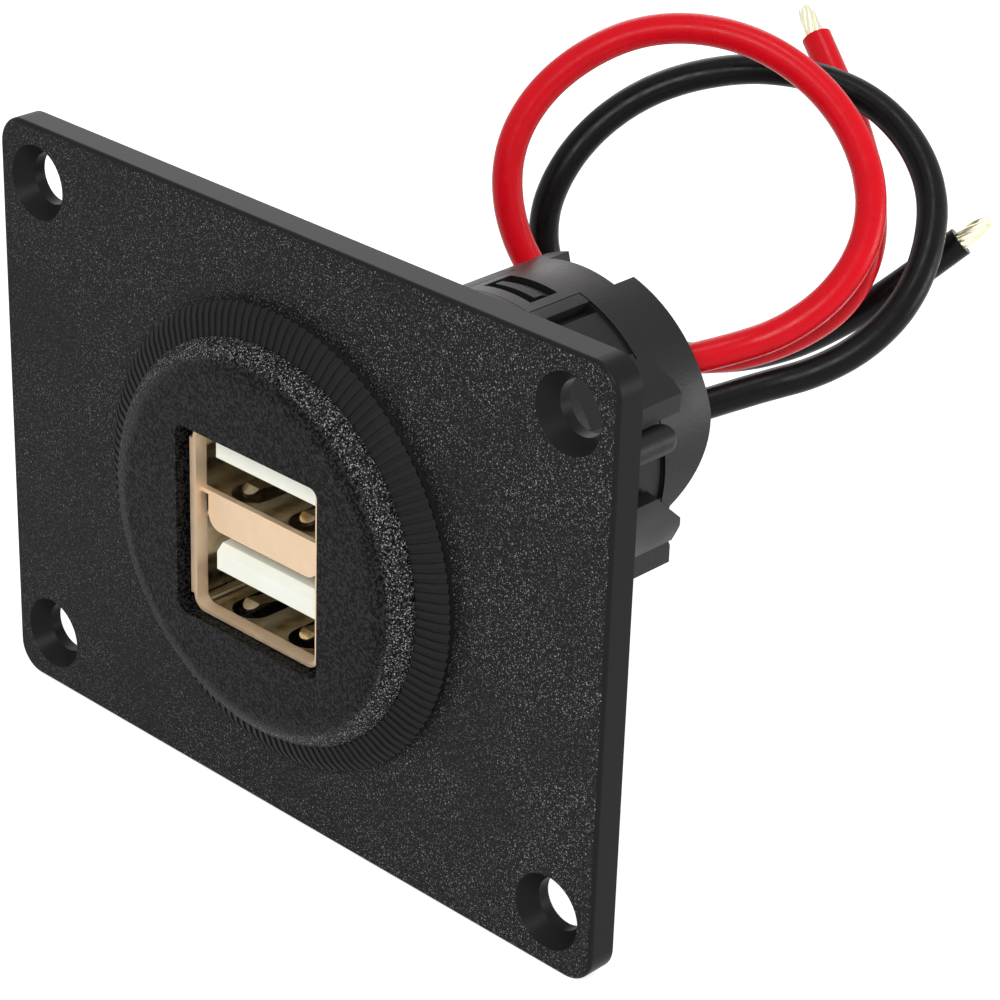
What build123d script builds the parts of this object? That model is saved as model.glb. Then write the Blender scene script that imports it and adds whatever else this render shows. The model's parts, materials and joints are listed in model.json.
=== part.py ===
from build123d import *
import math
import os

# Twin charging socket for a vehicle panel. Millimetres.
# X is to the right, Y goes into the panel and Z is up; the front looks along -Y.
# The origin is the centre of the plate's rear face, which is the centre of its four screws.

# Mounting plate
plate_width = 66.0
plate_height = 50.0
plate_thickness = 2.5
plate_corner_radius = 2.5
plate_edge_radius = 0.35
screw_margin_x = 4.5
screw_margin_z = 4.75
screw_hole_diameter = 4.3
countersink_diameter = 6.2
countersink_depth = 1.5

# Socket barrel
body_diameter = 26.0
barrel_wall = 1.6
barrel_depth = 26.5
plate_bore_clearance = 0.1
flange_reach = 2.0
flange_thickness = 2.0
ledge_reach = 3.2
ledge_width = 5.0
latch_slot_angles = (66.5, 71.0)
latch_slot_depth = 1.2
latch_slot_front_y = 21.5
claw_flat_angles = (46.0, 66.5)
claw_flat_depth = 0.3
side_flat_angles = (-9.0, 9.0)
side_flat_depth = 0.35
flats_front_y = 19.0

# Clearances, how far a joined piece sinks into its carrier, and how far a cutter runs past a face
sliding_clearance = 0.05
board_clearance = 0.1
embed = 0.3
overrun = 1.0

# Bezel ring
bezel_reach = 2.5
bezel_edge_height = 0.9
bezel_foot_height = 0.45
bezel_foot_inset = 0.5
bezel_shoulder = (1.6, 0.5)
bezel_seat_lap = 0.5
bezel_rib_count = 144
bezel_rib_depth = 0.12

# Front cap
cap_overhang = 1.3
cap_thickness = 1.9
cap_edge_height = 0.3
cap_rim_width = 2.7
cap_spigot_length = 4.0
cap_spigot_wall = 0.6
window_side_gap = 0.85
window_end_gap = 0.1
window_corner_radius = 0.8

# Twin USB connector
shell_width = 14.0
shell_height = 15.8
shell_wall = 0.35
shell_corner_radius = 1.2
shell_recess = 1.0
shell_lip = 0.35
shell_lip_length = 0.6
upper_floor_z = 2.45
divider_height = 3.3
divider_web_gap = 0.55
divider_corner_radius = 1.3
divider_depth = 12.4
divider_setback = 0.6
divider_web_setback = 0.15
tongue_side_gap = 1.1
tongue_thickness = 2.1
tongue_setback = 1.1
upper_tongue_z = 5.2
lower_tongue_z = -4.4
tongue_edge_chamfer = 0.6
insulator_depth = 3.0
contact_width = 1.0
contact_thickness = 0.25
contact_pitches = (-3.5, -1.0, 1.0, 3.5)
contact_curl = 0.55
contact_setback = 1.0
contact_curl_run = 0.4
contact_nose_height = 0.15
finger_width = 1.5
finger_slot_width = 3.4
finger_length = 5.5
finger_setback = 1.6
finger_rise = 0.65
finger_pitch = 6.4
finger_root_overlap = 0.6
finger_bend_setback = 1.2
finger_crest_setback = 1.1
finger_nose_setback = 0.3
finger_nose_drop = 0.4
shell_leg_width = 1.6

# Circuit board
board_thickness = 1.6
board_front_y = 12.0

# Rear cap
end_wall_thickness = 1.5
seam_width = 0.15
seam_depth = 0.25
rim_wall = 1.2
crown_height = 2.15
hood_height = 4.5
hood_start_angle = 74.0
hood_end_angle = -17.0
hood_corner_top_z = 4.0
hood_corner_middle = (2.0, -0.9)
hood_corner_margin = 0.4
skirt_wall = 1.0
tongue_latch_angles = (76.5, 107.5)
latch_recess_depth = 1.0
latch_reach = 5.8
latch_window_angles = (80.5, 103.5)
latch_window_start = 1.2
latch_window_length = 3.1
latch_tooth_angles = (82.5, 101.5)
latch_tooth_front_gap = 0.9
latch_tooth_rear_gap = 0.2
latch_tooth_land = 0.8
latch_tooth_rear_height = 0.5
latch_recess_margin_angle = 0.4

# Retaining ring
ring_band_diameter = 30.8
ring_band_length = 12.0
ring_sleeve_diameter = 28.4
ring_sleeve_length = 18.0
ring_grip_count = 24
ring_grip_radius = 1.1
ring_grip_offset = 0.66
ring_sleeve_angles = (-62.0, 45.0)
lug_half_angle = 10.0
lug_length = 2.0
lug_height = 1.1
keyway_angle = 60.0
keyway_clearance = 0.15
keyway_margin_angle = 2.0

# Claws of the retaining ring, mirrored on the left. Each outline runs round the claw's end as
# setback from the claws' reach and distance across, and each root gives its two edges on the band.
claw_reach = 29.5
facet_claw_angle = 33.0
facet_claw_root = (-2.9, 3.2)
facet_claw_outline = ((1.1, -2.7), (1.0, -0.2), (1.4, 1.0), (2.4, 2.0), (4.0, 2.9))
facet_corners = ((10.0, 20.5), (13.5, 20.5), (14.3, 27.5), (13.1, 45.5), (10.0, 46.0))
rib_claw_angle = 14.5
rib_claw_radius = 1.25
rib_claw_setback = 2.2
rib_claw_standoff = 0.3
sloping_claw_angle = -15.5
sloping_claw_root = (-2.9, 2.9)
sloping_claw_outline = ((1.1, -2.9), (1.0, -1.2), (1.4, -0.2), (5.0, 2.9))
square_claw_angle = -46.0
square_claw_root = (-3.9, 3.7)
square_claw_outline = ((-1.7, -3.9), (-1.7, 1.1), (-1.3, 1.6), (-1.3, 3.7))
square_claw_corner = (10.15, -10.5)
square_claw_side = 5.0

# Wires
wire_diameter = 2.6
wire_core_diameter = 1.5
wire_hole_clearance = 0.2
tip_length = 3.0
terminal_wall = 0.3
tip_chamfer = 0.3

# Power parts on the board, each with its centre as x, z
inductor_diameter = 7.6
inductor_height = 5.0
inductor_place = (0.0, -5.5)
inductor_flange_thickness = 0.9
inductor_post_ratio = 0.45
inductor_coil_ratio = 0.88
input_capacitor_diameter = 6.3
input_capacitor_height = 7.7
input_capacitor_place = (-6.3, 2.2)
output_capacitor_diameter = 5.0
output_capacitor_height = 5.8
output_capacitor_place = (-1.2, 7.3)
capacitor_rim_chamfer = 0.4
capacitor_groove_depth = 0.25
capacitor_groove_start = 0.9
capacitor_groove_width = 0.5
chip_size = (4.9, 1.5, 3.9)
chip_place = (-0.2, 1.4)
chip_lift = 0.15
chip_pin_count = 4
chip_pin_pitch = 1.27
chip_pin_size = (0.4, 0.5)
chip_pin_reach = 1.0
chip_pin_overlap = 0.1
chip_edge_chamfer = 0.2
diode_size = (2.6, 2.1, 4.3)
diode_place = (6.6, -4.0)
fuse_size = (1.6, 1.0, 3.2)
fuse_place = (-6.7, -4.4)
resistor_size = (0.8, 0.5, 1.6)
resistor_places = ((-4.4, -2.2), (-4.4, -8.0), (5.0, -7.6))
box_part_chamfer_ratio = 0.08

# Places along the axis
plate_front_y = -plate_thickness
flange_front_y = plate_front_y - flange_thickness
cap_face_y = flange_front_y - cap_thickness
shell_front_y = cap_face_y + shell_recess
tongue_front_y = shell_front_y + tongue_setback
board_rear_y = board_front_y + board_thickness
end_wall_y = barrel_depth + end_wall_thickness
crown_y = end_wall_y + crown_height
hood_y = end_wall_y + hood_height

screw_spacing_x = plate_width - 2 * screw_margin_x
screw_spacing_z = plate_height - 2 * screw_margin_z
body_radius = body_diameter / 2
flange_radius = body_radius + flange_reach
cap_radius = flange_radius + cap_overhang
bezel_radius = cap_radius + bezel_reach
bore_radius = body_radius - barrel_wall
board_radius = bore_radius - board_clearance
skirt_outer_radius = bore_radius - sliding_clearance
skirt_inner_radius = skirt_outer_radius - skirt_wall
ring_bore_radius = body_radius + sliding_clearance
lower_floor_z = -shell_height / 2 + shell_wall
shell_inner_half_width = shell_width / 2 - shell_wall
window_width = shell_width + 2 * window_side_gap
window_height = shell_height + 2 * window_end_gap
tongue_half_width = shell_inner_half_width - tongue_side_gap

# The wires leave the board at their terminals and pass the end wall on the right.
red_route = [
    (4.1, 16.6, 4.6), (4.1, 23.8, 4.6), (5.4, 31.5, 5.0), (10.3, 39.1, 6.6), (12.8, 41.9, 8.3),
    (14.4, 45.2, 10.8), (14.6, 48.5, 14.1), (12.9, 51.1, 17.9), (9.6, 52.3, 21.7),
    (5.4, 52.2, 24.9), (0.5, 50.8, 27.2), (-4.2, 48.4, 28.0), (-8.4, 45.5, 27.3),
    (-11.7, 42.3, 25.0), (-14.0, 39.4, 21.7), (-14.9, 37.1, 17.6), (-14.2, 36.0, 13.0),
    (-12.4, 36.5, 8.1), (-9.9, 38.8, 3.6), (-6.2, 41.7, 0.6), (-1.4, 44.2, -0.1), (3.5, 46.6, 1.0),
    (7.4, 49.5, 3.3), (10.3, 52.1, 6.5), (10.3, 55.2, 10.4), (7.8, 57.8, 14.3), (3.8, 60.6, 17.9),
    (-0.3, 62.5, 20.7), (-3.9, 63.7, 23.8),
]
black_route = [
    (6.9, 16.6, 0.9), (6.9, 23.8, 0.9), (7.8, 31.5, 1.6), (11.9, 39.4, 3.4), (14.8, 42.7, 4.6),
    (17.2, 46.1, 6.8), (18.1, 49.9, 9.7), (17.0, 53.9, 12.9), (14.3, 57.7, 16.1),
    (10.2, 59.8, 19.1), (5.5, 60.1, 21.4), (0.7, 58.6, 22.6), (-3.7, 55.9, 22.9),
    (-7.7, 52.5, 22.0), (-10.9, 49.1, 20.2), (-13.2, 45.7, 17.3), (-14.4, 42.9, 13.7),
    (-14.9, 41.4, 9.5), (-14.0, 41.4, 5.0), (-11.5, 43.0, 1.0), (-7.9, 45.6, -1.4),
    (-3.9, 48.4, -2.1), (0.6, 50.7, -1.3), (4.9, 53.1, 0.8), (8.7, 55.2, 3.9), (12.4, 57.0, 7.6),
    (15.7, 60.2, 11.7),
]


def across(y):
    """Sketching plane square to the socket's axis at depth y, with x right and z up."""
    return Plane.XZ.offset(-y)


def prism(sketch, y_front, y_rear):
    return extrude(across(y_rear) * sketch, amount=y_rear - y_front)


def block(x_range, y_range, z_range):
    centre = [(low + high) / 2 for low, high in (x_range, y_range, z_range)]
    return Pos(*centre) * Box(*[high - low for low, high in (x_range, y_range, z_range)])


def rod(radius, y_front, y_rear, x=0.0, z=0.0):
    return prism(Pos(x, z) * Circle(radius), y_front, y_rear)


def tube(outer_radius, inner_radius, y_front, y_rear):
    return prism(Circle(outer_radius) - Circle(inner_radius), y_front, y_rear)


def turned(points):
    """Solid of revolution about the socket's axis from an outline of radius and depth."""
    return revolve(make_face(Polyline(*points, close=True)), axis=Axis.Y)


def wedge(first_angle, last_angle, radius=3 * body_radius):
    """Pie slice about the axis between two angles, counted up from +X."""
    steps = max(2, math.ceil((last_angle - first_angle) / 45))
    angles = [first_angle + (last_angle - first_angle) * i / steps for i in range(steps + 1)]
    rim = [(radius * math.cos(math.radians(a)), radius * math.sin(math.radians(a))) for a in angles]
    return make_face(Polyline((0, 0), *rim, close=True))


def ring_sector(outer_radius, inner_radius, y_range, angle_range):
    whole = Circle(outer_radius) - Circle(inner_radius) if inner_radius else Circle(outer_radius)
    return prism(whole & wedge(*angle_range), *y_range)


def both_sides(solid):
    return solid + mirror(solid, about=Plane.YZ)


def half_turn(solid):
    """The same solid half a turn round the axis."""
    return Rot(0, 180, 0) * solid


def tangent_plane(angle):
    """Plane through the axis that faces outward at an angle: x runs along Y, y runs round."""
    a = math.radians(angle)
    return Plane(origin=(0, 0, 0), x_dir=(0, 1, 0), z_dir=(math.cos(a), 0, math.sin(a)))


def make_mounting_plate():
    plate = prism(RectangleRounded(plate_width, plate_height, plate_corner_radius), plate_front_y, 0)
    front_edges = plate.faces().sort_by(Axis.Y)[0].edges()
    plate = fillet(front_edges, plate_edge_radius)
    plate -= rod(body_radius + plate_bore_clearance, plate_front_y - overrun, overrun)
    hole = screw_hole_diameter / 2
    sink = countersink_diameter / 2
    cutter = turned([
        (0, plate_front_y), (sink, plate_front_y), (hole, plate_front_y + countersink_depth),
        (hole, overrun), (0, overrun),
    ])
    for side in (-1, 1):
        for level in (-1, 1):
            plate -= Pos(side * screw_spacing_x / 2, 0, level * screw_spacing_z / 2) * cutter
    return plate


def turned_bezel(depth):
    """Ring on a recessed foot, whose outer face lies a given depth below the tops of the ribs."""
    inner = flange_radius + sliding_clearance
    foot = bezel_radius - bezel_foot_inset
    foot_y = plate_front_y - bezel_foot_height
    edge = (bezel_radius - depth, plate_front_y - bezel_edge_height)
    reach, rise = bezel_shoulder
    shoulder = (cap_radius + reach - depth / 2, flange_front_y + rise + depth)
    crest = (cap_radius, flange_front_y + depth)
    return turned([
        (inner, plate_front_y), (foot, plate_front_y), (foot, foot_y), edge, shoulder, crest,
        (cap_radius - bezel_seat_lap, flange_front_y), (inner, flange_front_y),
    ])


def make_bezel_ring():
    pitch = 360 / bezel_rib_count
    rib = turned_bezel(0) & prism(wedge(-pitch / 4, pitch / 4), flange_front_y - overrun, plate_front_y)
    return turned_bezel(bezel_rib_depth) + [Rot(0, pitch * i, 0) * rib for i in range(bezel_rib_count)]


def make_front_cap():
    face = (cap_radius - cap_rim_width, cap_face_y)
    edge = (cap_radius, flange_front_y - cap_edge_height)
    outline = TangentArc(face, edge, tangent=(1, 0)) + Polyline(
        edge, (cap_radius, flange_front_y), (0, flange_front_y), (0, cap_face_y), face)
    disc = revolve(make_face(outline), axis=Axis.Y)
    spigot_radius = bore_radius - sliding_clearance
    spigot = tube(spigot_radius, spigot_radius - cap_spigot_wall,
                  flange_front_y, flange_front_y + cap_spigot_length)
    window = RectangleRounded(window_width, window_height, window_corner_radius)
    return disc + spigot - prism(window, cap_face_y - overrun, flange_front_y)


def latch_tooth():
    """Ramped tooth in the barrel's recess that the rear cap's window snaps over."""
    window_front = barrel_depth - latch_reach + latch_window_start
    front = window_front + latch_tooth_front_gap
    rear = window_front + latch_window_length - latch_tooth_rear_gap
    floor = body_radius - latch_recess_depth
    top = body_radius - sliding_clearance
    tooth = turned([(floor - embed, front), (top, front), (top, front + latch_tooth_land),
                    (floor + latch_tooth_rear_height, rear), (floor - embed, rear)])
    return tooth & prism(wedge(*latch_tooth_angles), front - overrun, rear + overrun)


def make_socket_barrel():
    barrel = tube(flange_radius, bore_radius, flange_front_y, plate_front_y)
    barrel += tube(body_radius, bore_radius, plate_front_y, barrel_depth)
    # Recess and tooth for each latch tongue, at the top and bottom
    recess_floor = body_radius - latch_recess_depth
    recess_front = barrel_depth - latch_reach - sliding_clearance
    first, last = tongue_latch_angles
    recess_angles = (first - latch_recess_margin_angle, last + latch_recess_margin_angle)
    outside = body_radius + overrun
    recess = ring_sector(outside, recess_floor, (recess_front, barrel_depth), recess_angles)
    tooth = latch_tooth()
    barrel = barrel - recess - half_turn(recess) + tooth + half_turn(tooth)
    # Slots beside the tongues and flats behind the claws
    cuts = ring_sector(outside, body_radius - latch_slot_depth,
                       (latch_slot_front_y, barrel_depth), latch_slot_angles)
    for depth, angles in ((claw_flat_depth, claw_flat_angles), (side_flat_depth, side_flat_angles)):
        cuts += ring_sector(outside, body_radius - depth, (flats_front_y, barrel_depth), angles)
    barrel = barrel - cuts - half_turn(cuts)
    # Bayonet lugs that hold the retaining ring against the plate
    lug = ring_sector(body_radius + lug_height, body_radius - embed,
                      (ring_band_length, ring_band_length + lug_length),
                      (90 - lug_half_angle, 90 + lug_half_angle))
    barrel += lug + half_turn(lug)
    # Ledges inside that carry the circuit board
    ledge = block((bore_radius - ledge_reach, body_radius), (0.0, board_front_y),
                  (-ledge_width / 2, ledge_width / 2))
    return barrel + both_sides(ledge & rod(bore_radius + embed, 0, board_front_y))


def claw(angle, root, outline, section):
    """Claw of the retaining ring: an outline seen from outside, limited to a cross-section."""
    start = ring_band_length - overrun
    points = [(start, root[0])] + [(claw_reach - setback, across_it) for setback, across_it in outline]
    shape = make_face(Polyline(*points, (start, root[1]), close=True))
    blank = extrude(tangent_plane(angle) * shape, amount=ring_band_diameter)
    return blank & prism(section, start, hood_y)


def rib_claw():
    """Round-nosed rib that lies along the barrel."""
    radius = body_radius + rib_claw_standoff
    end = claw_reach - rib_claw_setback - rib_claw_radius
    rib = rod(rib_claw_radius, ring_band_length - overrun, end, x=radius)
    return Rot(0, -rib_claw_angle, 0) * (rib + Pos(radius, end, 0) * Sphere(rib_claw_radius))


def make_retaining_ring():
    band_radius = ring_band_diameter / 2
    sleeve_radius = ring_sleeve_diameter / 2
    ring = rod(band_radius, 0, ring_band_length)
    grip = rod(ring_grip_radius, -overrun, ring_band_length + overrun, x=band_radius + ring_grip_offset)
    for i in range(ring_grip_count):
        ring -= Rot(0, 360 / ring_grip_count * (i + 0.5), 0) * grip
    sleeve = ring_sector(sleeve_radius, 0, (0, ring_sleeve_length), ring_sleeve_angles)
    ring += both_sides(sleeve)
    facets = make_face(Polyline(*[(r * math.cos(math.radians(a)), r * math.sin(math.radians(a)))
                                  for r, a in facet_corners], close=True))
    wall = Circle(sleeve_radius) - Circle(body_radius)
    corner_x, corner_z = square_claw_corner
    side = square_claw_side
    square = Pos(corner_x - side / 2, corner_z + side / 2) * Rectangle(side, side)
    claws = [
        claw(facet_claw_angle, facet_claw_root, facet_claw_outline, facets),
        rib_claw(),
        claw(sloping_claw_angle, sloping_claw_root, sloping_claw_outline, wall),
        claw(square_claw_angle, square_claw_root, square_claw_outline, square),
    ]
    for one in claws:
        ring += both_sides(one)
    ring -= rod(ring_bore_radius, -overrun, hood_y + overrun)
    # Keyways that let the barrel's lugs through
    half = lug_half_angle + keyway_margin_angle
    keyway = ring_sector(body_radius + lug_height + keyway_clearance, 0,
                         (-overrun, ring_sleeve_length + overrun), (keyway_angle - half, keyway_angle + half))
    return ring - keyway - half_turn(keyway)


def make_rear_cap():
    inner = body_radius - rim_wall
    cap = rod(body_radius, barrel_depth + seam_width, end_wall_y)
    cap += rod(body_radius - seam_depth, barrel_depth, barrel_depth + seam_width)
    cap += tube(skirt_outer_radius, skirt_inner_radius, board_rear_y, barrel_depth)
    cap += tube(body_radius, inner, end_wall_y, crown_y) & prism(
        wedge(hood_start_angle, 180 - hood_start_angle), end_wall_y, crown_y)
    hood = ring_sector(body_radius, inner, (end_wall_y, hood_y), (hood_end_angle, hood_start_angle))
    # The lower corner of each hood is cut away in a long curve
    low_z = body_radius * math.sin(math.radians(hood_end_angle)) - hood_corner_margin
    start, end = (barrel_depth, low_z), (hood_y + sliding_clearance, hood_corner_top_z)
    below = (end[0], low_z)
    middle = (hood_y - hood_corner_middle[0], hood_corner_middle[1])
    corner = make_face([ThreePointArc(start, middle, end), Line(end, below), Line(below, start)])
    cutter = Pos(body_radius / 2, 0, 0) * extrude(Plane.YZ * corner, amount=body_radius)
    cap += both_sides(hood - cutter)
    # Latch tongues with their windows
    front = barrel_depth - latch_reach
    tongue = ring_sector(body_radius, body_radius - latch_recess_depth + sliding_clearance,
                         (front, end_wall_y), tongue_latch_angles)
    window_front = front + latch_window_start
    window = ring_sector(body_radius + overrun, skirt_outer_radius,
                         (window_front, window_front + latch_window_length), latch_window_angles)
    tongue -= window
    cap += tongue + half_turn(tongue)
    for route in (red_route, black_route):
        x, z = wire_place(route)
        cap -= rod(wire_diameter / 2 + wire_hole_clearance, barrel_depth - overrun, end_wall_y + overrun,
                   x=x, z=z)
    return cap


def wire_place(route):
    """Where a wire crosses the middle of the end wall."""
    middle = (barrel_depth + end_wall_y) / 2
    (x0, y0, z0), (x1, y1, z1) = route[1], route[2]
    t = (middle - y0) / (y1 - y0)
    return x0 + t * (x1 - x0), z0 + t * (z1 - z0)


def floor_fingers(floor_z, wall):
    """U-shaped slots in a port's floor, and the spring fingers that stand up in them."""
    slots, fingers = [], []
    front = shell_front_y + finger_setback
    rear = front + finger_length
    nose, crest = front + finger_nose_setback, front + finger_crest_setback
    bend, root = rear - finger_bend_setback, rear + finger_root_overlap
    top = floor_z + finger_rise
    for side in (-1, 1):
        x = side * finger_pitch / 2
        opening = SlotOverall(finger_length + overrun, finger_slot_width, rotation=90)
        opening_plane = Plane.XY.offset(floor_z - wall - embed)
        slots.append(extrude(opening_plane * Pos(x, (front + rear) / 2) * opening, amount=wall + 2 * embed))
        profile = make_face(Polyline(
            (root, floor_z - wall), (bend, floor_z - wall), (crest, top - wall),
            (nose, top - finger_nose_drop - wall), (nose, top - finger_nose_drop),
            (crest, top), (bend, floor_z), (root, floor_z), close=True))
        strip = extrude(Plane.YZ.offset(x - finger_width / 2) * profile, amount=finger_width)
        # The finger's free end is rounded in plan
        plan = SlotOverall(2 * (root - nose), finger_width, rotation=90)
        rounded = extrude(opening_plane * Pos(x, root) * plan, amount=wall + finger_rise + overrun)
        fingers.append(strip & rounded)
    return slots, fingers


def make_usb_shell():
    outer = RectangleRounded(shell_width, shell_height, shell_corner_radius)
    inner = RectangleRounded(shell_width - 2 * shell_wall, shell_height - 2 * shell_wall,
                             shell_corner_radius - shell_wall)
    shell = prism(outer - inner, shell_front_y, board_front_y)
    # Outward lips along the two upright front edges
    lip = block((shell_width / 2 - shell_wall, shell_width / 2 + shell_lip),
                (shell_front_y, shell_front_y + shell_lip_length),
                (-shell_height / 2 + shell_corner_radius, shell_height / 2 - shell_corner_radius))
    shell += both_sides(lip)
    slots, fingers = floor_fingers(lower_floor_z, shell_wall)
    for slot, finger in zip(slots, fingers):
        shell = shell - slot + finger
    leg = block((shell_width / 2 - shell_wall, shell_width / 2),
                (board_front_y, board_rear_y), (-shell_leg_width / 2, shell_leg_width / 2))
    for level in (-shell_height / 4, shell_height / 4):
        shell += both_sides(Pos(0, 0, level) * leg)
    return shell


def make_usb_divider():
    front = shell_front_y + divider_setback
    web_front = front + divider_web_setback
    rear = front + divider_depth
    lower_z = upper_floor_z - divider_height
    half = shell_inner_half_width
    web_half = half - divider_web_gap
    deck = block((-half, half), (front, rear), (upper_floor_z - shell_wall, upper_floor_z))
    soffit_front = web_front + divider_corner_radius
    soffit = block((-half, half), (soffit_front, rear), (lower_z, lower_z + shell_wall))
    soffit += block((-web_half, web_half), (web_front, rear), (lower_z, lower_z + shell_wall))
    web = block((-web_half, web_half), (web_front, web_front + shell_wall), (lower_z, upper_floor_z))
    # The web's lower corners are rounded off
    radius = divider_corner_radius
    corner = Pos(web_half, lower_z) * Rectangle(2 * radius, 2 * radius)
    corner -= Pos(web_half - radius, lower_z + radius) * Circle(radius)
    corner_cutter = prism(corner, web_front - overrun, soffit_front)
    divider = deck + soffit + web - both_sides(corner_cutter)
    slots, fingers = floor_fingers(upper_floor_z, shell_wall)
    for slot, finger in zip(slots, fingers):
        divider = divider - slot + finger
    return divider


def contacts(tongue_z):
    """Four strips under a tongue, curled up at the front and running through the board."""
    low = tongue_z - contact_thickness
    high = low + contact_curl
    front = tongue_front_y + contact_setback
    nose = front - contact_thickness
    profile = make_face(Polyline(
        (front, low), (board_rear_y, low), (board_rear_y, tongue_z), (front + contact_curl_run, tongue_z),
        (front, high), (nose, high), (nose, low + contact_nose_height), close=True))
    return [extrude(Plane.YZ.offset(x - contact_width / 2) * profile, amount=contact_width)
            for x in contact_pitches]


def make_usb_tongue(tongue_z, block_low, block_high, strips):
    half = tongue_half_width
    tongue = block((-half, half), (tongue_front_y, board_front_y), (tongue_z, tongue_z + tongue_thickness))
    front_edges = tongue.faces().sort_by(Axis.Y)[0].edges().filter_by(Axis.X)
    tongue = chamfer(front_edges.sort_by(Axis.Z)[-1], tongue_edge_chamfer)
    inside = RectangleRounded(shell_width - 2 * shell_wall - 2 * sliding_clearance,
                              shell_height - 2 * shell_wall - 2 * sliding_clearance,
                              shell_corner_radius - shell_wall)
    root = (board_front_y - insulator_depth, board_front_y)
    tongue += prism(inside, *root) & block((-shell_width, shell_width), root, (block_low, block_high))
    for strip in strips:
        tongue -= strip
    return tongue


def make_circuit_board(pins):
    board = rod(board_radius, board_front_y, board_rear_y)
    for pin in pins:
        board -= pin
    return board


def make_inductor():
    x, z = inductor_place
    radius, flange = inductor_diameter / 2, inductor_flange_thickness
    base, top = board_rear_y, board_rear_y + inductor_height
    post = rod(inductor_post_ratio * radius, base, top, x, z)
    core = rod(radius, base, base + flange, x, z) + rod(radius, top - flange, top, x, z) + post
    coil = rod(inductor_coil_ratio * radius, base + flange, top - flange, x, z) - post
    return core, coil


def make_capacitor(diameter, height, place):
    x, z = place
    body = rod(diameter / 2, board_rear_y, board_rear_y + height, x, z)
    start = board_rear_y + capacitor_groove_start
    end = start + capacitor_groove_width
    neck = rod(diameter / 2 - capacitor_groove_depth, start, end, x, z)
    body -= rod(diameter / 2, start, end, x, z) - neck
    rim = body.faces().sort_by(Axis.Y)[-1].edges()
    return chamfer(rim, capacitor_rim_chamfer)


def make_chip():
    x, z = chip_place
    width, height, length = chip_size
    pin_width, pin_height = chip_pin_size
    base = board_rear_y + chip_lift
    body = block((x - width / 2, x + width / 2), (base, base + height), (z - length / 2, z + length / 2))
    body = chamfer(body.edges().filter_by(Axis.Y), chip_edge_chamfer)
    for i in range(chip_pin_count):
        pin_x = x + chip_pin_pitch * (i - (chip_pin_count - 1) / 2)
        for side in (-1, 1):
            ends = z + side * (length / 2 - chip_pin_overlap), z + side * (length / 2 + chip_pin_reach)
            body += block((pin_x - pin_width / 2, pin_x + pin_width / 2),
                          (board_rear_y, board_rear_y + pin_height), sorted(ends))
    return body


def make_box_part(size, place):
    """Surface-mount part with a metal cap at each end of its length."""
    (width, height, length), (x, z) = size, place
    body = block((x - width / 2, x + width / 2), (board_rear_y, board_rear_y + height),
                 (z - length / 2, z + length / 2))
    return chamfer(body.edges().filter_by(Axis.Z), box_part_chamfer_ratio * height)


def make_terminal(route):
    """Solder cup that stands on the board and holds the start of a wire."""
    x, y, z = route[0]
    return rod(wire_diameter / 2 + terminal_wall, board_rear_y, y, x, z)


def smooth_path(route):
    """Straight runs joined by arcs, each as large as its two runs allow."""
    points = [Vector(*p) for p in route]
    radii = []
    for before, here, after in zip(points, points[1:], points[2:]):
        turn = math.radians((here - before).get_angle(after - here))
        run = min((here - before).length, (after - here).length)
        radii.append(0.45 * run / math.tan(turn / 2))
    return FilletPolyline(*points, radius=radii), radii


def make_wire(route):
    path, radii = smooth_path(route)
    section = Plane(origin=path @ 0, z_dir=path % 0) * Circle(wire_diameter / 2)
    return sweep(section, path=path), path, radii


def make_tip(route):
    """Tinned strands that stick out of the free end of a wire."""
    end = Vector(*route[-1])
    direction = (end - Vector(*route[-2])).normalized()
    section = Plane(origin=end, z_dir=direction) * Circle(wire_core_diameter / 2)
    tip = extrude(section, amount=tip_length)
    rims = tip.edges().filter_by(GeomType.CIRCLE).sort_by_distance(end + direction * tip_length)
    return chamfer(rims[0], tip_chamfer)


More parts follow.
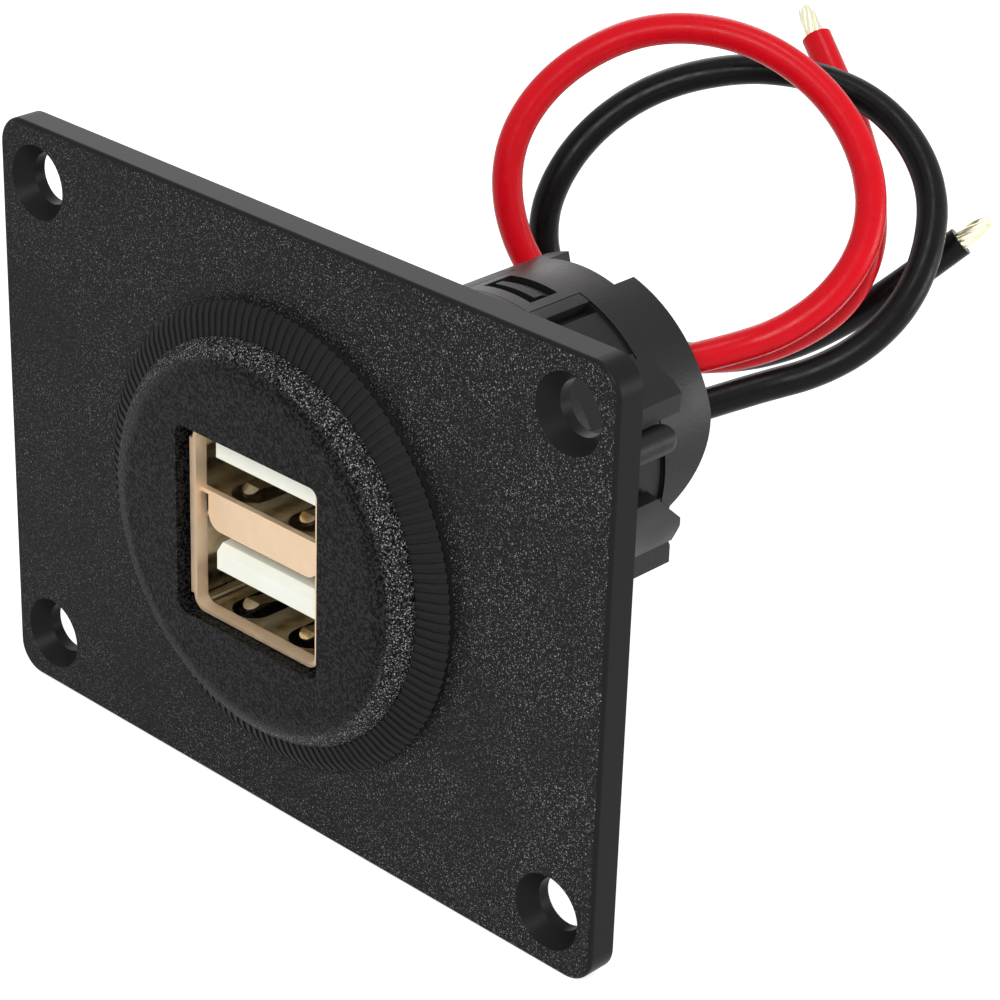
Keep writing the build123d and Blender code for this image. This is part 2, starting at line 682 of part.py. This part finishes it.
def build_parts():
    upper_strips = contacts(upper_tongue_z)
    lower_strips = contacts(lower_tongue_z)
    shell = make_usb_shell()
    core, coil = make_inductor()
    red_wire, red_path, red_radii = make_wire(red_route)
    black_wire, black_path, black_radii = make_wire(black_route)
    for name, wire, path, radii in (("red", red_wire, red_path, red_radii),
                                    ("black", black_wire, black_path, black_radii)):
        section = math.pi * wire_diameter ** 2 / 4
        print(name, "wire length", round(path.length, 1), "volume ratio",
              round(wire.volume / (section * path.length), 4), "radii", [round(r, 1) for r in radii])
    half_height = shell_height / 2
    middle_z = upper_floor_z - divider_height / 2
    return {
        "mounting_plate": make_mounting_plate(),
        "bezel_ring": make_bezel_ring(),
        "front_cap": make_front_cap(),
        "socket_barrel": make_socket_barrel(),
        "retaining_ring": make_retaining_ring(),
        "rear_cap": make_rear_cap(),
        "usb_shell": shell,
        "usb_divider": make_usb_divider(),
        "usb_upper_tongue": make_usb_tongue(upper_tongue_z, middle_z, half_height, upper_strips),
        "usb_lower_tongue": make_usb_tongue(lower_tongue_z, -half_height, middle_z, lower_strips),
        "usb_upper_contacts": Compound(children=upper_strips),
        "usb_lower_contacts": Compound(children=lower_strips),
        "circuit_board": make_circuit_board(upper_strips + lower_strips + [shell]),
        "inductor_core": core,
        "inductor_coil": coil,
        "input_capacitor": make_capacitor(input_capacitor_diameter, input_capacitor_height,
                                          input_capacitor_place),
        "output_capacitor": make_capacitor(output_capacitor_diameter, output_capacitor_height,
                                           output_capacitor_place),
        "converter_chip": make_chip(),
        "rectifier_diode": make_box_part(diode_size, diode_place),
        "input_fuse": make_box_part(fuse_size, fuse_place),
        "chip_resistors": Compound(children=[make_box_part(resistor_size, p) for p in resistor_places]),
        "positive_terminal": make_terminal(red_route),
        "negative_terminal": make_terminal(black_route),
        "red_wire": red_wire,
        "black_wire": black_wire,
        "red_wire_tip": make_tip(red_route),
        "black_wire_tip": make_tip(black_route),
    }


os.makedirs("parts", exist_ok=True)
for node, solid in build_parts().items():
    export_step(solid, f"parts/{node}.step")
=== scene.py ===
import bpy
import json
import math
from mathutils import Matrix, Vector


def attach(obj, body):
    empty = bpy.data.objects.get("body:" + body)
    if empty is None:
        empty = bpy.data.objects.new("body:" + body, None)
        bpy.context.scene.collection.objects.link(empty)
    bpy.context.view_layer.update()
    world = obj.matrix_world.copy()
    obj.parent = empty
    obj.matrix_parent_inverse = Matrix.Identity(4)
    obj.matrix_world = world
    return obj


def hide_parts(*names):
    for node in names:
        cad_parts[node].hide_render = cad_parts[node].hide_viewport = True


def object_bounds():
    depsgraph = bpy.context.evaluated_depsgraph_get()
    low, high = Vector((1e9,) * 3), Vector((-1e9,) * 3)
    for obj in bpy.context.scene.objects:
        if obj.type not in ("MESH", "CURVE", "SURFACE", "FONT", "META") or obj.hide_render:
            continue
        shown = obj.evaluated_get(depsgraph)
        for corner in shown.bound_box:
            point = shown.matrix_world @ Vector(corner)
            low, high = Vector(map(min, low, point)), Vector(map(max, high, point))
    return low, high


MM = 0.001
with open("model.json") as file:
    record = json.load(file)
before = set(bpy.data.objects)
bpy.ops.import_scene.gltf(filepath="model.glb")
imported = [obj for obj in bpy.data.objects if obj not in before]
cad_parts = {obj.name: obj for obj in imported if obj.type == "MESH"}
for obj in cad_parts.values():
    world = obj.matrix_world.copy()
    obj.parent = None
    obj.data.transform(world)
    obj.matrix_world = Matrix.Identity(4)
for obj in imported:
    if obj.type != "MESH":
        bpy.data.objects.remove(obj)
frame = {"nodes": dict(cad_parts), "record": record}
nodes = frame["nodes"]
cad_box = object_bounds()


# Camera: the photograph's viewpoint, worked out from the plate's corners, holes and bezel.
# Angles in degrees, lengths in millimetres.

CAMERA_AZIMUTH = 43.13
CAMERA_ELEVATION = 26.95
CAMERA_ROLL = 1.96
CAMERA_PLACE = (161.26, -150.69, 114.68)
CAMERA_LENS = 116.84
CAMERA_SENSOR = 36


def photo_camera():
    azimuth, elevation = math.radians(CAMERA_AZIMUTH), math.radians(CAMERA_ELEVATION)
    roll = math.radians(CAMERA_ROLL)
    back = Vector((math.sin(azimuth) * math.cos(elevation),
                   -math.cos(azimuth) * math.cos(elevation),
                   math.sin(elevation)))
    level = Vector((math.cos(azimuth), math.sin(azimuth), 0))
    up = back.cross(level)
    right = math.cos(roll) * level + math.sin(roll) * up
    upward = -math.sin(roll) * level + math.cos(roll) * up
    data = bpy.data.cameras.new("camera")
    data.sensor_width = CAMERA_SENSOR
    data.lens = CAMERA_LENS
    data.clip_start, data.clip_end = 0.01, 10
    camera = bpy.data.objects.new("camera", data)
    rotation = Matrix((right, upward, back)).transposed().to_4x4()
    camera.matrix_world = Matrix.Translation(Vector(CAMERA_PLACE) * MM) @ rotation
    bpy.context.scene.collection.objects.link(camera)
    bpy.context.scene.camera = camera


# Wires: the points of each route, in millimetres, from the board to the free end

RED_ROUTE = (
    (4.1, 16.6, 4.6), (4.1, 23.8, 4.6), (5.4, 31.5, 5.0), (10.3, 39.1, 6.6), (12.8, 41.9, 8.3),
    (14.4, 45.2, 10.8), (14.6, 48.5, 14.1), (12.9, 51.1, 17.9), (9.6, 52.3, 21.7),
    (5.4, 52.2, 24.9), (0.5, 50.8, 27.2), (-4.2, 48.4, 28.0), (-8.4, 45.5, 27.3),
    (-11.7, 42.3, 25.0), (-14.0, 39.4, 21.7), (-14.9, 37.1, 17.6), (-14.2, 36.0, 13.0),
    (-12.4, 36.5, 8.1), (-9.9, 38.8, 3.6), (-6.2, 41.7, 0.6), (-1.4, 44.2, -0.1), (3.5, 46.6, 1.0),
    (7.4, 49.5, 3.3), (10.3, 52.1, 6.5), (10.3, 55.2, 10.4), (7.8, 57.8, 14.3), (3.8, 60.6, 17.9),
    (-0.3, 62.5, 20.7), (-3.9, 63.7, 23.8),
)
BLACK_ROUTE = (
    (6.9, 16.6, 0.9), (6.9, 23.8, 0.9), (7.8, 31.5, 1.6), (11.9, 39.4, 3.4), (14.8, 42.7, 4.6),
    (17.2, 46.1, 6.8), (18.1, 49.9, 9.7), (17.0, 53.9, 12.9), (14.3, 57.7, 16.1),
    (10.2, 59.8, 19.1), (5.5, 60.1, 21.4), (0.7, 58.6, 22.6), (-3.7, 55.9, 22.9),
    (-7.7, 52.5, 22.0), (-10.9, 49.1, 20.2), (-13.2, 45.7, 17.3), (-14.4, 42.9, 13.7),
    (-14.9, 41.4, 9.5), (-14.0, 41.4, 5.0), (-11.5, 43.0, 1.0), (-7.9, 45.6, -1.4),
    (-3.9, 48.4, -2.1), (0.6, 50.7, -1.3), (4.9, 53.1, 0.8), (8.7, 55.2, 3.9), (12.4, 57.0, 7.6),
    (15.7, 60.2, 11.7),
)
WIRE_DIAMETER = 2.6

# Colour, route and length along the curve in metres

LEADS = (("red", RED_ROUTE, 0.1517), ("black", BLACK_ROUTE, 0.1408))

# Bare ends: strands round a middle one, in millimetres and degrees. Each is a little thicker than
# its share of the core, so that solder seems to fill the gaps, and they draw together and taper
# at the tip.

CORE_DIAMETER = 1.5
TIP_LENGTH = 3.0
TIP_INSIDE_WIRE = 0.4
STRANDS_ROUND = 6
STRAND_SWELL = 1.35
STRAND_LAY = 110
STRAND_POINTS = 7
TIP_NARROWING = 0.3
TIP_UNEVENNESS = 0.04
TIP_TAPER = {5: 0.95, 6: 0.6}


def route_curve(name, route, material):
    """A round wire along its route."""
    curve = bpy.data.curves.new(name, "CURVE")
    curve.dimensions = "3D"
    curve.resolution_u = 10
    curve.bevel_depth = WIRE_DIAMETER / 2 * MM
    curve.bevel_resolution = 8
    curve.use_fill_caps = True
    spline = curve.splines.new("NURBS")
    spline.points.add(len(route) - 1)
    for point, place in zip(spline.points, route):
        point.co = (*(value * MM for value in place), 1)
    spline.order_u = 3
    spline.use_endpoint_u = True
    curve.materials.append(material)
    wire = bpy.data.objects.new(name, curve)
    bpy.context.scene.collection.objects.link(wire)
    return wire


def strand_bundle(name, route, material):
    """Tinned strands laid round one another, six about one, beyond the insulation's end."""
    end = Vector(route[-1])
    along = (end - Vector(route[-2])).normalized()
    side = along.cross(Vector((0, 0, 1))).normalized()
    other = along.cross(side)
    strand_radius = CORE_DIAMETER / 6
    curve = bpy.data.curves.new(name, "CURVE")
    curve.dimensions = "3D"
    curve.bevel_depth = strand_radius * STRAND_SWELL * MM
    curve.bevel_resolution = 3
    curve.resolution_u = 4
    curve.use_fill_caps = True
    for i in range(STRANDS_ROUND + 1):
        distance = 0 if i == STRANDS_ROUND else 2 * strand_radius
        reach = TIP_LENGTH * (1 - TIP_UNEVENNESS * (i % 3))
        spline = curve.splines.new("NURBS")
        spline.points.add(STRAND_POINTS - 1)
        for j, point in enumerate(spline.points):
            t = j / (STRAND_POINTS - 1)
            angle = math.radians(360 / STRANDS_ROUND * i + STRAND_LAY * t)
            spread = distance * (1 - TIP_NARROWING * t * t)
            place = end + along * (reach * t - TIP_INSIDE_WIRE * (1 - t))
            place += spread * (math.cos(angle) * side + math.sin(angle) * other)
            point.co = (*(place * MM), 1)
            point.radius = TIP_TAPER.get(j, 1.0)
        spline.order_u = 3
        spline.use_endpoint_u = True
    curve.materials.append(material)
    bundle = bpy.data.objects.new(name, curve)
    bpy.context.scene.collection.objects.link(bundle)
    return bundle


# Materials, all procedural. Texture places are object coordinates, in metres, so a scale of
# 1000 has about one feature a millimetre. Each pair of lengths is where a finish, or a painted
# light, begins to change and where it has changed.

# Where the plate's painted glints thin out towards the left, as painted shade
PLATE_PAINTED_LIGHT_GROW = (-0.045, 0.03)
# Where the painted highlight on the cap's rounded rim begins
CAP_RIM_HIGHLIGHT_START = (0.0128, 0.0138)
MOUTH_BAND = (-0.0042, -0.0044)


class Surface:
    """A Principled material built up node by node."""

    def __init__(self, name, colour, roughness, metallic=0.0, specular=0.5):
        self.material = bpy.data.materials.new(name)
        self.material.use_nodes = True
        self.tree = self.material.node_tree
        self.shader = self.tree.nodes["Principled BSDF"]
        self.shader.inputs["Base Color"].default_value = (*colour, 1)
        self.shader.inputs["Roughness"].default_value = roughness
        self.shader.inputs["Metallic"].default_value = metallic
        self.shader.inputs["Specular IOR Level"].default_value = specular
        self.place = self.node("ShaderNodeTexCoord").outputs["Object"]

    def node(self, kind, links=(), **settings):
        made = self.tree.nodes.new(kind)
        for key, value in settings.items():
            setattr(made, key, value)
        for key, value in dict(links).items():
            if isinstance(value, bpy.types.NodeSocket):
                self.tree.links.new(value, made.inputs[key])
            else:
                made.inputs[key].default_value = value
        return made

    def set(self, key, socket):
        self.tree.links.new(socket, self.shader.inputs[key])

    def along(self, axis, vector=None):
        """One coordinate of a place or normal."""
        return self.node("ShaderNodeSeparateXYZ", {"Vector": vector or self.place}).outputs[axis]

    def noise(self, scale, detail=2.0, roughness=0.5):
        found = self.node("ShaderNodeTexNoise", {"Vector": self.place, "Scale": scale,
                                                 "Detail": detail, "Roughness": roughness})
        return found.outputs["Fac"]

    def cells(self, scale):
        return self.node("ShaderNodeTexVoronoi", {"Vector": self.place, "Scale": scale}).outputs

    def flecks(self, scale, radius, share):
        """Small pale dots of varied strength, in a share of the cells."""
        found = self.cells(scale)
        dot = self.ramp(found["Distance"], 1.4 * radius, 0.6 * radius)
        strength = self.node("ShaderNodeSeparateColor", {"Color": found["Color"]}).outputs["Red"]
        return self.maths("MULTIPLY", dot, self.ramp(strength, 1 - share, 1.0, smooth=False))

    def facing_front(self, low=0.9, high=0.98):
        """1 on faces that look along -Y, 0 elsewhere."""
        y = self.along("Y", self.node("ShaderNodeTexCoord").outputs["Normal"])
        return self.ramp(y, -low, -high)

    def ramp(self, socket, low, high, first=0.0, last=1.0, smooth=True):
        found = self.node("ShaderNodeMapRange", {"Value": socket, "From Min": low, "From Max": high,
                                                 "To Min": first, "To Max": last},
                          interpolation_type="SMOOTHSTEP" if smooth else "LINEAR")
        return found.outputs["Result"]

    def blend(self, factor, first, second):
        found = self.node("ShaderNodeMix", data_type="RGBA")
        for key, value in ((0, factor), (6, first), (7, second)):
            if isinstance(value, bpy.types.NodeSocket):
                self.tree.links.new(value, found.inputs[key])
            else:
                found.inputs[key].default_value = value if key == 0 else (*value, 1)
        return found.outputs[2]

    def maths(self, operation, first, second):
        return self.node("ShaderNodeMath", {0: first, 1: second}, operation=operation).outputs[0]

    def relief(self, height, distance):
        links = {"Height": height, "Distance": distance, "Strength": 1.0}
        self.set("Normal", self.node("ShaderNodeBump", links).outputs["Normal"])


def shades(colour, darker, lighter):
    return tuple(darker * c for c in colour), tuple(lighter * c for c in colour)


def plate_plastic(name):
    """Moulded black plastic: smooth edges, and a spark-eroded front with pale flecks painted as
    glints of light on its peaks, fewer of them to the left as painted shade."""
    s = Surface(name, (0.013, 0.013, 0.0135), 0.5, specular=0.05)
    front = s.facing_front()
    fine = s.noise(4800.0, detail=3.0, roughness=0.65)
    # Painted shade: fewer flecks towards the left, where less light falls
    share = s.ramp(s.along("X"), *PLATE_PAINTED_LIGHT_GROW, 0.35, 1.0, smooth=False)
    patches_and_painted_light = s.maths("MULTIPLY", share, s.ramp(s.noise(130.0), 0.3, 0.6, 0.5, 1.0))
    # Painted glints: pale dots standing for light caught on the grain
    large_painted_glints = s.flecks(2900.0, 0.17, 0.75)
    small_painted_glints = s.maths("MAXIMUM", s.flecks(5200.0, 0.2, 0.75), s.flecks(7400.0, 0.26, 0.6))
    painted_glints = s.maths("MULTIPLY", s.maths("MAXIMUM", large_painted_glints, small_painted_glints), s.maths("MULTIPLY", front, patches_and_painted_light))
    tone = s.blend(s.ramp(fine, 0.3, 0.7), (0.006, 0.006, 0.0063), (0.021, 0.021, 0.0213))
    tone = s.blend(front, (0.0115, 0.0115, 0.0118), tone)
    s.set("Base Color", s.blend(painted_glints, tone, (0.34, 0.34, 0.34)))
    s.set("Roughness", s.ramp(front, 0.0, 1.0, 0.36, 0.55, smooth=False))
    s.relief(s.maths("MULTIPLY", fine, front), 0.00005)
    return s.material


def sanded_plastic(name):
    """Black cap with a sand texture, and pale grains on its rounded rim as a painted highlight."""
    s = Surface(name, (0.009, 0.009, 0.0093), 0.28, specular=0.04)
    fine = s.noise(4300.0, detail=3.0, roughness=0.6)
    tone = s.blend(s.ramp(fine, 0.42, 0.62), (0.0015, 0.0015, 0.0016), (0.021, 0.021, 0.0213))
    tone = s.blend(s.flecks(3300.0, 0.2, 0.55), tone, (0.05, 0.05, 0.05))
    across = s.node("ShaderNodeMapping", {"Vector": s.place, "Scale": (1.0, 0.0, 1.0)}).outputs[0]
    radius = s.node("ShaderNodeVectorMath", {0: across}, operation="LENGTH").outputs["Value"]
    # Painted highlight: pale grains all round the rounded rim, outside the flat front
    rim_highlight_mask = s.maths("MULTIPLY", s.ramp(s.facing_front(0.8, 0.96), 1.0, 0.0),
                  s.ramp(radius, *CAP_RIM_HIGHLIGHT_START))
    painted_highlight_grains = s.maths("MAXIMUM", s.flecks(5000.0, 0.28, 0.9), s.flecks(7000.0, 0.3, 0.8))
    s.set("Base Color", s.blend(s.maths("MULTIPLY", rim_highlight_mask, painted_highlight_grains), tone, (0.36, 0.36, 0.36)))
    s.set("Roughness", s.ramp(fine, 0.3, 0.7, 0.2, 0.32))
    s.relief(fine, 0.00012)
    return s.material


def smooth_plastic(name, colour, roughness, depth=0.00001, specular=0.2):
    """Glossier moulded plastic with slight flow waves."""
    s = Surface(name, colour, roughness, specular=specular)
    wave = s.noise(140.0, detail=3.0)
    s.set("Base Color", s.blend(wave, *shades(colour, 0.85, 1.2)))
    s.set("Roughness", s.ramp(wave, 0.3, 0.7, roughness - 0.06, roughness + 0.08))
    s.relief(s.noise(3600.0, detail=2.0, roughness=0.6), depth)
    return s.material


def plated_metal(name, colour, roughness, stain):
    """Plated metal with warm stains and slight waves."""
    s = Surface(name, colour, roughness, metallic=1.0)
    blotch = s.noise(420.0, detail=3.0, roughness=0.6)
    s.set("Base Color", s.blend(s.ramp(blotch, 0.6, 0.85), colour, stain))
    s.set("Roughness", s.ramp(s.noise(900.0), 0.3, 0.7, roughness - 0.04, roughness + 0.06))
    s.relief(s.noise(2400.0), 0.000004)
    return s.material


def shell_metal(name):
    """Folded plated sheet: peach where it faces the front and in a duller band round each
    mouth, greyer and with sharp reflections inside."""
    s = Surface(name, (0.6, 0.5, 0.38), 0.16, metallic=1.0)
    mouth = s.ramp(s.along("Y"), *MOUTH_BAND)
    blotch = s.ramp(s.noise(520.0, detail=3.0, roughness=0.6), 0.5, 0.75)
    sides = s.blend(blotch, (0.78, 0.7, 0.57), (0.52, 0.42, 0.3))
    front = s.facing_front(0.5, 0.8)
    band = s.blend(front, (0.86, 0.7, 0.52), (0.74, 0.57, 0.4))
    s.set("Base Color", s.blend(s.maths("MAXIMUM", front, mouth), sides, band))
    polish = s.ramp(s.noise(900.0), 0.3, 0.7, 0.13, 0.22)
    s.set("Roughness", s.maths("ADD", polish, s.ramp(mouth, 0.0, 1.0, 0.0, 0.4)))
    s.relief(s.noise(700.0), 0.00002)
    return s.material


def wire_insulation(name, colour, roughness):
    """Soft smooth cover with faint unevenness."""
    s = Surface(name, colour, roughness, specular=0.11)
    s.set("Base Color", s.blend(s.noise(260.0), *shades(colour, 0.88, 1.1)))
    s.set("Roughness", s.ramp(s.noise(900.0), 0.3, 0.7, roughness - 0.05, roughness + 0.08))
    s.relief(s.noise(1500.0), 0.000012)
    return s.material


def white_nylon(name):
    """Pale insulator that light enters a little."""
    s = Surface(name, (0.84, 0.84, 0.76), 0.38, specular=0.35)
    s.shader.inputs["Subsurface Weight"].default_value = 0.15
    s.shader.inputs["Subsurface Radius"].default_value = (0.001, 0.0009, 0.0007)
    s.set("Base Color", s.blend(s.noise(500.0), (0.8, 0.81, 0.71), (0.86, 0.87, 0.8)))
    s.relief(s.noise(6000.0), 0.000006)
    return s.material


def board_laminate(name):
    """Green board with its weave showing through."""
    s = Surface(name, (0.02, 0.16, 0.07), 0.35)
    weave = s.maths("MULTIPLY", s.cells(2500.0)["Distance"], s.noise(1200.0))
    s.set("Base Color", s.blend(s.ramp(weave, 0.05, 0.35), (0.012, 0.1, 0.045), (0.03, 0.2, 0.09)))
    s.relief(weave, 0.00001)
    return s.material


def finishes():
    black = (0.009, 0.009, 0.0094)
    return {
        "plate_plastic": plate_plastic("plate_plastic"),
        "cap_plastic": sanded_plastic("cap_plastic"),
        "bezel_plastic": smooth_plastic("bezel_plastic", (0.014, 0.014, 0.0145), 0.45, specular=0.05),
        "barrel_plastic": smooth_plastic("barrel_plastic", black, 0.45, depth=0.00002),
        "ring_plastic": smooth_plastic("ring_plastic", black, 0.4, depth=0.00002),
        "rear_plastic": smooth_plastic("rear_plastic", black, 0.36, depth=0.00002),
        "shell_metal": shell_metal("shell_metal"),
        "tongue_plastic": white_nylon("tongue_plastic"),
        "contact_metal": plated_metal("contact_metal", (0.85, 0.66, 0.32), 0.22, (0.7, 0.5, 0.2)),
        "board_laminate": board_laminate("board_laminate"),
        "ferrite": smooth_plastic("ferrite", (0.05, 0.05, 0.052), 0.6, depth=0.00003),
        "winding": plated_metal("winding", (0.7, 0.3, 0.13), 0.3, (0.5, 0.2, 0.08)),
        "capacitor_can": plated_metal("capacitor_can", (0.78, 0.78, 0.8), 0.28, (0.6, 0.6, 0.62)),
        "chip_epoxy": smooth_plastic("chip_epoxy", (0.022, 0.022, 0.023), 0.55, depth=0.00002),
        "ceramic": smooth_plastic("ceramic", (0.42, 0.36, 0.28), 0.4),
        "terminal_metal": plated_metal("terminal_metal", (0.74, 0.72, 0.68), 0.3, (0.6, 0.58, 0.52)),
        "red_insulation": wire_insulation("red_insulation", (0.56, 0.004, 0.011), 0.25),
        "black_insulation": wire_insulation("black_insulation", (0.004, 0.004, 0.0043), 0.3),
        "tinned_strands": plated_metal("tinned_strands", (0.8, 0.77, 0.57), 0.35, (0.62, 0.56, 0.36)),
    }


# Stage: the camera and reflections see a white world and a floor that glows a little, and the
# object is lit by a dimmer world and a floor without glow. The floor's lengths are in metres.

WORLD_LIGHT = 0.5
FLOOR_REACH = 3.0
FLOOR_GAP = 0.0002
FLOOR_COLOUR = (0.88, 0.88, 0.88)
FLOOR_COLOUR_SEEN = (0.5, 0.5, 0.5)
FLOOR_GLOW = 0.76

# Lamps: name, place and size across in millimetres, power in watts

LAMP_TARGET = (0, 10, 0)
LAMPS = (
    ("key", (60, 20, 360), 120, 0.25),
    ("side", (290, 270, 30), 200, 0.6),
    ("back", (-230, 250, 190), 300, 0.4),
    ("front", (230, -300, 280), 200, 1.45),
)


def seen_directly(tree):
    """1 for camera, glossy and transmission rays, 0 for the diffuse ones that light the object."""
    rays = tree.nodes.new("ShaderNodeLightPath")
    total = rays.outputs["Is Camera Ray"]
    for kind in ("Is Glossy Ray", "Is Transmission Ray"):
        add = tree.nodes.new("ShaderNodeMath")
        add.operation = "MAXIMUM"
        tree.links.new(total, add.inputs[0])
        tree.links.new(rays.outputs[kind], add.inputs[1])
        total = add.outputs[0]
    return total


def white_world():
    world = bpy.data.worlds.new("studio")
    bpy.context.scene.world = world
    world.use_nodes = True
    tree = world.node_tree
    background = tree.nodes["Background"]
    background.inputs["Color"].default_value = (1, 1, 1, 1)
    level = tree.nodes.new("ShaderNodeMapRange")
    level.inputs["To Min"].default_value = WORLD_LIGHT
    level.inputs["To Max"].default_value = 1.0
    tree.links.new(seen_directly(tree), level.inputs["Value"])
    tree.links.new(level.outputs["Result"], background.inputs["Strength"])


def paper_floor():
    mesh = bpy.data.meshes.new("floor")
    low = cad_box[0].z - FLOOR_GAP
    corners = ((-1, -1), (1, -1), (1, 1), (-1, 1))
    mesh.from_pydata([(x * FLOOR_REACH, y * FLOOR_REACH, low) for x, y in corners], [],
                     [(0, 1, 2, 3)])
    paper = Surface("paper", FLOOR_COLOUR, 0.9, specular=0.0)
    seen = seen_directly(paper.tree)
    paper.set("Base Color", paper.blend(seen, FLOOR_COLOUR, FLOOR_COLOUR_SEEN))
    paper.shader.inputs["Emission Color"].default_value = (1, 1, 1, 1)
    paper.set("Emission Strength", paper.maths("MULTIPLY", seen, FLOOR_GLOW))
    mesh.materials.append(paper.material)
    floor = bpy.data.objects.new("floor", mesh)
    bpy.context.scene.collection.objects.link(floor)


def lamp(name, place, size, power):
    data = bpy.data.lights.new(name, "AREA")
    data.shape = "DISK"
    data.size = size * MM
    data.energy = power
    made = bpy.data.objects.new(name, data)
    made.location = Vector(place) * MM
    made.rotation_mode = "QUATERNION"
    made.rotation_quaternion = (Vector(LAMP_TARGET) * MM - made.location).to_track_quat("-Z", "Y")
    bpy.context.scene.collection.objects.link(made)


# Dress the solids, lay the leads, then set the stage

photo_camera()
looks = finishes()
node_slots = {part["node"]: part["material_slot"] for part in frame["record"]["subparts"]}
for node, made in nodes.items():
    made.data.materials.clear()
    made.data.materials.append(looks[node_slots[node]])

for colour, route, spline_length in LEADS:
    wire = route_curve(f"{colour}_lead", route, looks[f"{colour}_insulation"])
    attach(wire, "root")
    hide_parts(f"{colour}_wire")
    strands = strand_bundle(f"{colour}_strands", route, looks["tinned_strands"])
    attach(strands, "root")
    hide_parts(f"{colour}_wire_tip")

white_world()
paper_floor()
for row in LAMPS:
    lamp(*row)
bpy.context.scene.view_settings.view_transform = "Standard"
